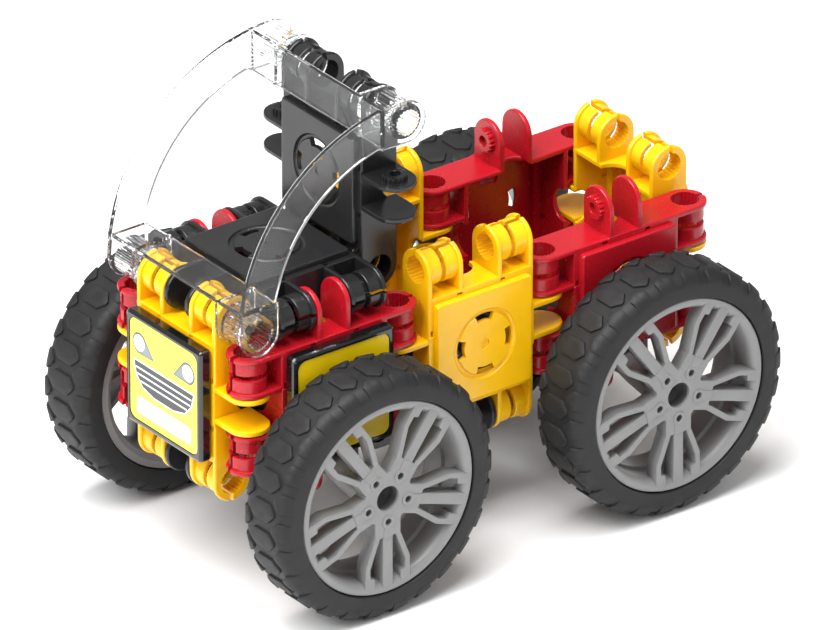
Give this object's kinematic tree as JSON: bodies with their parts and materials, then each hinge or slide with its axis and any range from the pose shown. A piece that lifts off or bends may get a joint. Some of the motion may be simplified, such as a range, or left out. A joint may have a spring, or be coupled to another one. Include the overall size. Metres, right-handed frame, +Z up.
{
  "type": "hinged block toy car",
  "caption": "Toy pickup built from square click-together hinge blocks, with an open bed, a clear swing-up canopy and free-rolling spoked wheels.",
  "frame": {"origin": "on the ground under the middle of the car", "axes": "+Z up; the car faces -Y; the axles lie along X, with the car's left side at +X"},
  "size_m": [0.1118, 0.1738, 0.1412],
  "materials": {
    "red_plastic": "gloss",
    "yellow_plastic": "gloss",
    "black_plastic": "gloss",
    "gloss_black": "high gloss",
    "front_print": "satin print on a glossy film",
    "side_print": "satin print on a glossy film",
    "clear_plastic": "clear gloss",
    "rim_grey": "satin",
    "tyre": "matte",
    "axle_steel": "satin"
  },
  "bodies": {
    "chassis": {"red_block_front_left": "red_plastic", "red_block_front_right": "red_plastic", "red_block_rear_left": "red_plastic", "red_block_rear_right": "red_plastic", "yellow_block_front": "yellow_plastic", "yellow_block_middle_left": "yellow_plastic", "yellow_block_middle_right": "yellow_plastic", "yellow_block_rear": "yellow_plastic", "axle_block_front": "black_plastic", "axle_block_rear": "black_plastic", "floor_block": "black_plastic", "hood_block": "black_plastic", "cover_front": "gloss_black", "cover_left": "gloss_black", "cover_right": "gloss_black", "sticker_front": "front_print", "sticker_left": "side_print", "sticker_right": "side_print"},
    "front_wheels": {"axle_front": "axle_steel", "rim_front_left": "rim_grey", "rim_front_right": "rim_grey", "tyre_front_left": "tyre", "tyre_front_right": "tyre"},
    "rear_wheels": {"axle_rear": "axle_steel", "rim_rear_left": "rim_grey", "rim_rear_right": "rim_grey", "tyre_rear_left": "tyre", "tyre_rear_right": "tyre"},
    "canopy": {"canopy": "clear_plastic"},
    "seat_back": {"seat_back_block": "black_plastic"}
  },
  "joints": [
    {"name": "front_axle_spin", "type": "hinge", "parent": "chassis", "child": "front_wheels", "pos_m": [0, -0.05, 0.0369], "axis": [1, 0, 0], "continuous": true},
    {"name": "rear_axle_spin", "type": "hinge", "parent": "chassis", "child": "rear_wheels", "pos_m": [0, 0.05, 0.0369], "axis": [1, 0, 0], "continuous": true},
    {"name": "canopy_hinge", "type": "hinge", "parent": "chassis", "child": "canopy", "pos_m": [0, -0.075, 0.0845], "axis": [1, 0, 0], "range_deg": [0, 90]},
    {"name": "seat_back_hinge", "type": "hinge", "parent": "chassis", "child": "seat_back", "pos_m": [0, -0.025, 0.0845], "axis": [-1, 0, 0], "range_deg": [0, 45]}
  ]
}
